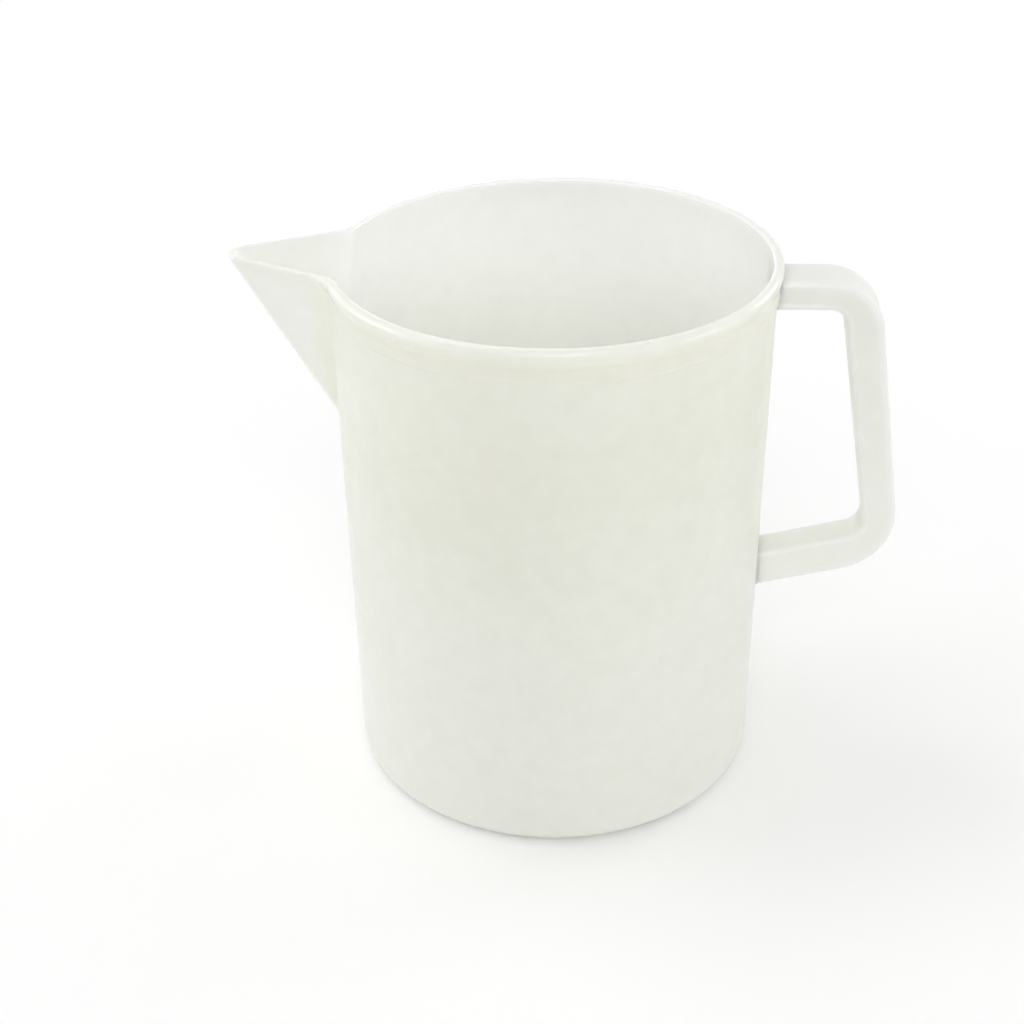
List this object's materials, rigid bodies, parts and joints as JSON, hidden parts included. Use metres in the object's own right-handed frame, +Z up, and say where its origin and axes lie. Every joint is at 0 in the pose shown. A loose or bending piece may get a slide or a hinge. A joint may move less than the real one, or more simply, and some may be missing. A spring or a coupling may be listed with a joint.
{
  "type": "pouring jug",
  "caption": "Tapered round pouring jug with a rolled rim, a pointed conical spout and a closed angular handle opposite it.",
  "frame": {"origin": "middle of the flat underside, on the cup's own axis", "axes": "+Z up along the cup's axis, +X towards the handle, -X towards the spout, +Y across"},
  "size_m": [0.2092, 0.139, 0.1745],
  "materials": {
    "polypropylene": "satin, milky natural polypropylene"
  },
  "bodies": {
    "root": {"base": "polypropylene", "cup_wall": "polypropylene", "collar": "polypropylene", "rim_bead": "polypropylene", "spout": "polypropylene", "handle_upper_arm": "polypropylene", "handle_grip": "polypropylene", "handle_lower_arm": "polypropylene"}
  },
  "joints": []
}
